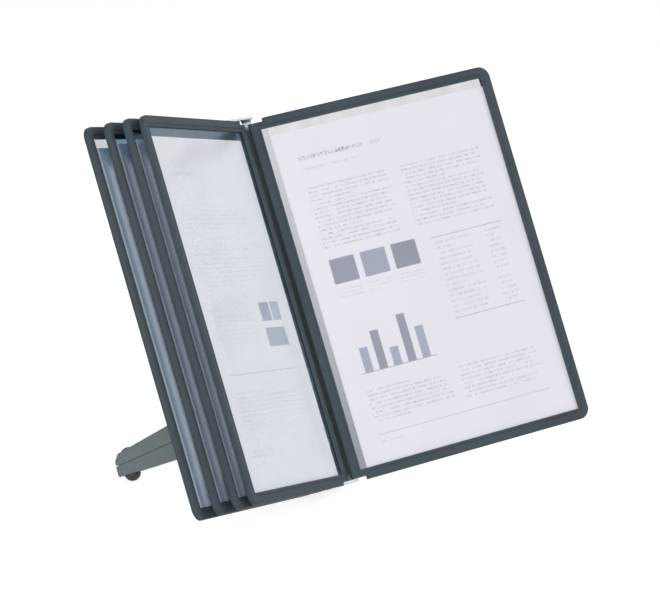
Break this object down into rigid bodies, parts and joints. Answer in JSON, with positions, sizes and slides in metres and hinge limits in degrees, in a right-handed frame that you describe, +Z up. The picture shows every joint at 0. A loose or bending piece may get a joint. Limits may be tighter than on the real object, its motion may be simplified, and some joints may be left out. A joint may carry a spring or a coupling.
{
  "type": "desktop reference display stand",
  "caption": "Desktop display stand: thin framed leaves hold printed sheets and swing like pages in a leaning sheet-metal channel with splayed rear legs and a front foot.",
  "frame": {"origin": "centre of the underside of the front foot pad, on the desk", "axes": "+X to the right of someone who reads the display, +Y back towards the legs, +Z up from the desk; the hinge axes lean back 22.5 degrees in the YZ plane"},
  "size_m": [0.4854, 0.2767, 0.3445],
  "materials": {
    "channel_metal": "light silver, satin",
    "frame_plastic": "dark slate grey, satin",
    "leg_plastic": "mid grey, matte",
    "rubber": "dark grey, soft",
    "clear_film": "clear, glossy",
    "paper": "white printed paper",
    "pin_wire": "bright drawn wire",
    "screw_zinc": "zinc plated"
  },
  "bodies": {
    "stand": {"spine_channel": "channel_metal", "leg_hub": "leg_plastic", "front_foot": "leg_plastic", "front_foot_pad": "rubber", "left_leg_upper_shell": "leg_plastic", "left_leg_lower_shell": "leg_plastic", "left_leg_shell_screw": "screw_zinc", "left_leg_upper_ball_foot": "rubber", "left_leg_lower_ball_foot": "rubber", "right_leg_upper_shell": "leg_plastic", "right_leg_lower_shell": "leg_plastic", "right_leg_shell_screw": "screw_zinc", "right_leg_upper_ball_foot": "rubber", "right_leg_lower_ball_foot": "rubber", "hub_screw_1": "screw_zinc", "hub_screw_2": "screw_zinc", "hub_screw_3": "screw_zinc", "hub_screw_4": "screw_zinc", "front_foot_screw_1": "screw_zinc", "front_foot_screw_2": "screw_zinc"},
    "leaf_1": {"leaf_1_frame": "frame_plastic", "leaf_1_front_film": "clear_film", "leaf_1_rear_film": "clear_film", "leaf_1_printed_sheet": "paper", "leaf_1_upper_pin": "pin_wire", "leaf_1_lower_pin": "pin_wire"},
    "leaf_2": {"leaf_2_frame": "frame_plastic", "leaf_2_front_film": "clear_film", "leaf_2_rear_film": "clear_film", "leaf_2_printed_sheet": "paper", "leaf_2_upper_pin": "pin_wire", "leaf_2_lower_pin": "pin_wire"},
    "leaf_3": {"leaf_3_frame": "frame_plastic", "leaf_3_front_film": "clear_film", "leaf_3_rear_film": "clear_film", "leaf_3_printed_sheet": "paper", "leaf_3_upper_pin": "pin_wire", "leaf_3_lower_pin": "pin_wire"},
    "leaf_4": {"leaf_4_frame": "frame_plastic", "leaf_4_front_film": "clear_film", "leaf_4_rear_film": "clear_film", "leaf_4_printed_sheet": "paper", "leaf_4_upper_pin": "pin_wire", "leaf_4_lower_pin": "pin_wire"},
    "leaf_5": {"leaf_5_frame": "frame_plastic", "leaf_5_front_film": "clear_film", "leaf_5_rear_film": "clear_film", "leaf_5_printed_sheet": "paper", "leaf_5_upper_pin": "pin_wire", "leaf_5_lower_pin": "pin_wire"}
  },
  "joints": [
    {"name": "leaf_1_hinge", "type": "hinge", "parent": "stand", "child": "leaf_1", "pos_m": [-0.0268, 0.026, 0.15805], "axis": [0, 0.3827, 0.9239], "range_deg": [0, 25]},
    {"name": "leaf_2_hinge", "type": "hinge", "parent": "stand", "child": "leaf_2", "pos_m": [-0.0134, 0.026, 0.15805], "axis": [0, 0.3827, 0.9239], "range_deg": [0, 50]},
    {"name": "leaf_3_hinge", "type": "hinge", "parent": "stand", "child": "leaf_3", "pos_m": [0, 0.026, 0.15805], "axis": [0, 0.3827, 0.9239], "range_deg": [0, 75]},
    {"name": "leaf_4_hinge", "type": "hinge", "parent": "stand", "child": "leaf_4", "pos_m": [0.0134, 0.026, 0.15805], "axis": [0, 0.3827, 0.9239], "range_deg": [0, 100]},
    {"name": "leaf_5_hinge", "type": "hinge", "parent": "stand", "child": "leaf_5", "pos_m": [0.0268, 0.026, 0.15805], "axis": [0, 0.3827, 0.9239], "range_deg": [-26, 0]}
  ],
  "couplings": [
    {"joint": "leaf_3_hinge", "follows": "leaf_4_hinge", "ratio": 0.75},
    {"joint": "leaf_2_hinge", "follows": "leaf_4_hinge", "ratio": 0.5},
    {"joint": "leaf_1_hinge", "follows": "leaf_4_hinge", "ratio": 0.25}
  ]
}
